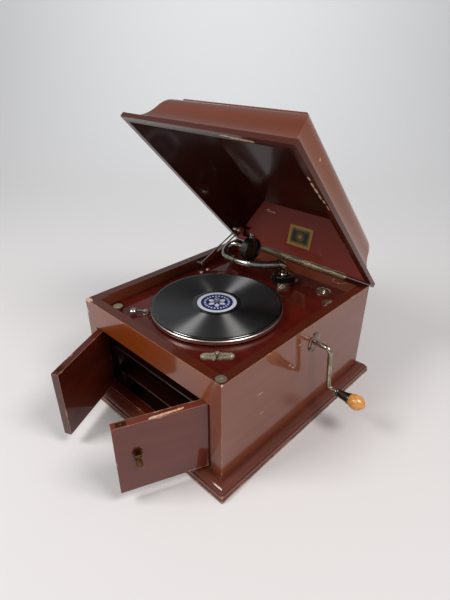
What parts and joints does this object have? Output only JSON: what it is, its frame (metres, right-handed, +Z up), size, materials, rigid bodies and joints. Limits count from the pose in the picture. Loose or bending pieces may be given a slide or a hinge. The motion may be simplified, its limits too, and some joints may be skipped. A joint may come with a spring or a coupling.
{
  "type": "table gramophone",
  "caption": "Wooden table gramophone with a hinged domed lid on a slotted stay, turntable, swinging tonearm, front doors over a louvred horn and a side winding crank.",
  "frame": {"origin": "centre of the case's flat underside, on the table", "axes": "+X to the crank side, -Y to the doors, +Z up"},
  "size_m": [0.505, 0.6047, 0.5658],
  "materials": {
    "case_wood": "gloss lacquer",
    "plinth_wood": "gloss lacquer",
    "board_wood": "gloss lacquer",
    "plain_wood": "unfinished",
    "lid_wood": "gloss lacquer",
    "lining_wood": "satin lacquer",
    "door_wood": "gloss lacquer",
    "horn_wood": "satin",
    "louvre_wood": "gloss lacquer",
    "nickel": "nickel plate",
    "brass": "worn",
    "gear_brass": "machined",
    "spring_steel": "blued",
    "iron": "painted",
    "grip_wood": "varnish",
    "black_enamel": "gloss enamel",
    "cloth": "felt",
    "shellac": "grooved",
    "label_paper": "printed",
    "mica": "thin sheet",
    "pad_leather": "plain"
  },
  "bodies": {
    "cabinet": {"side_left": "case_wood", "side_right": "case_wood", "back_panel": "case_wood", "top_rail": "case_wood", "door_sill": "case_wood", "base_board": "plain_wood", "plinth_front": "plinth_wood", "plinth_right": "plinth_wood", "plinth_back": "plinth_wood", "plinth_left": "plinth_wood", "motorboard": "board_wood", "board_fixings": "nickel", "horn_box": "horn_wood", "horn_elbow": "iron", "louvres": "louvre_wood", "arm_flange": "nickel", "needle_cups": "nickel", "crank_escutcheon": "brass", "hinge_case_leaf": "nickel", "stay_case_bracket": "nickel", "motor_frame": "iron", "speed_plate": "nickel", "door_catches": "brass", "door_pins": "brass"},
    "lid": {"lid_front": "lid_wood", "lid_right": "lid_wood", "lid_back": "lid_wood", "lid_left": "lid_wood", "lid_top": "lid_wood", "lid_lining": "lining_wood", "hinge_lid_leaf": "nickel", "stay_lid_bracket": "nickel"},
    "stay": {"stay_bar": "nickel"},
    "left_door": {"door_left": "door_wood", "left_fittings": "brass"},
    "left_drop": {"left_pull": "brass"},
    "right_door": {"door_right": "door_wood", "right_fittings": "brass"},
    "right_drop": {"right_pull": "brass"},
    "crank": {"crank_rod": "nickel"},
    "grip": {"grip_ferrule": "brass", "crank_grip": "grip_wood"},
    "turntable": {"platter": "nickel", "mat": "cloth", "record": "shellac", "record_label": "label_paper", "spindle": "nickel"},
    "barrel": {"spring_barrel": "gear_brass", "mainspring": "spring_steel"},
    "winding": {"winding_wheel": "gear_brass"},
    "governor": {"governor": "gear_brass"},
    "tonearm": {"arm_base": "black_enamel", "arm_tube": "nickel"},
    "soundbox": {"gooseneck": "nickel", "soundbox_case": "nickel", "diaphragm": "mica", "needle_chuck": "nickel"},
    "brake": {"brake_lever": "nickel", "brake_pad": "pad_leather"},
    "speed": {"speed_pointer": "nickel"}
  },
  "joints": [
    {"name": "lid_hinge", "type": "hinge", "parent": "cabinet", "child": "lid", "pos_m": [0, 0.22, 0.2235], "axis": [-1, 0, 0], "range_deg": [-45.8, 0]},
    {"name": "stay_swing", "type": "hinge", "parent": "cabinet", "child": "stay", "pos_m": [-0.1555, 0.068, 0.211], "axis": [1, 0, 0], "range_deg": [-10.57, 0]},
    {"name": "left_door_hinge", "type": "hinge", "parent": "cabinet", "child": "left_door", "pos_m": [-0.1508, -0.214, 0.1015], "axis": [0, 0, -1], "range_deg": [-64, 46]},
    {"name": "right_door_hinge", "type": "hinge", "parent": "cabinet", "child": "right_door", "pos_m": [0.1508, -0.214, 0.1015], "axis": [0, 0, 1], "range_deg": [-66, 44]},
    {"name": "left_pull_swing", "type": "hinge", "parent": "left_door", "child": "left_drop", "pos_m": [-0.11002, -0.32406, 0.109], "axis": [-0.4384, 0.8988, 0], "range_deg": [0, 70]},
    {"name": "right_pull_swing", "type": "hinge", "parent": "right_door", "child": "right_drop", "pos_m": [0.11389, -0.32542, 0.109], "axis": [-0.4067, -0.9135, 0], "range_deg": [0, 70]},
    {"name": "crank_turn", "type": "hinge", "parent": "cabinet", "child": "crank", "pos_m": [0.2, 0.025, 0.178], "axis": [1, 0, 0], "continuous": true},
    {"name": "grip_spin", "type": "hinge", "parent": "crank", "child": "grip", "pos_m": [0.27, 0.03688, 0.08395], "axis": [1, 0, 0], "continuous": true},
    {"name": "winding_turn", "type": "hinge", "parent": "cabinet", "child": "winding", "pos_m": [0.03994, 0, 0.178], "axis": [0, 0, 1], "continuous": true},
    {"name": "turntable_spin", "type": "hinge", "parent": "cabinet", "child": "turntable", "pos_m": [0, -0.0415, 0.21], "axis": [0, 0, -1], "continuous": true},
    {"name": "barrel_turn", "type": "hinge", "parent": "cabinet", "child": "barrel", "pos_m": [0.03994, 0, 0.158], "axis": [0, 0, -1], "continuous": true},
    {"name": "governor_spin", "type": "hinge", "parent": "cabinet", "child": "governor", "pos_m": [0.023, -0.064, 0.158], "axis": [1, 0, 0], "continuous": true},
    {"name": "tonearm_swing", "type": "hinge", "parent": "cabinet", "child": "tonearm", "pos_m": [0.024, 0.142, 0.212], "axis": [0, 0, 1], "range_deg": [-26, 40]},
    {"name": "gooseneck_turn", "type": "hinge", "parent": "tonearm", "child": "soundbox", "pos_m": [-0.0815, 0.0795, 0.246], "axis": [-1, 0, 0], "range_deg": [-138, 0]},
    {"name": "brake_swing", "type": "hinge", "parent": "cabinet", "child": "brake", "pos_m": [-0.084, -0.152, 0.205], "axis": [0, 0, 1], "range_deg": [-16, 0]},
    {"name": "speed_swing", "type": "hinge", "parent": "cabinet", "child": "speed", "pos_m": [0.10625, -0.14738, 0.2029], "axis": [0, 0, 1], "range_deg": [-20, 20]}
  ],
  "couplings": [
    {"joint": "stay_swing", "follows": "lid_hinge", "ratio": 0.2306},
    {"joint": "winding_turn", "follows": "crank_turn", "ratio": 0.025},
    {"joint": "barrel_turn", "follows": "turntable_spin", "ratio": -0.2},
    {"joint": "governor_spin", "follows": "turntable_spin", "ratio": 12}
  ]
}
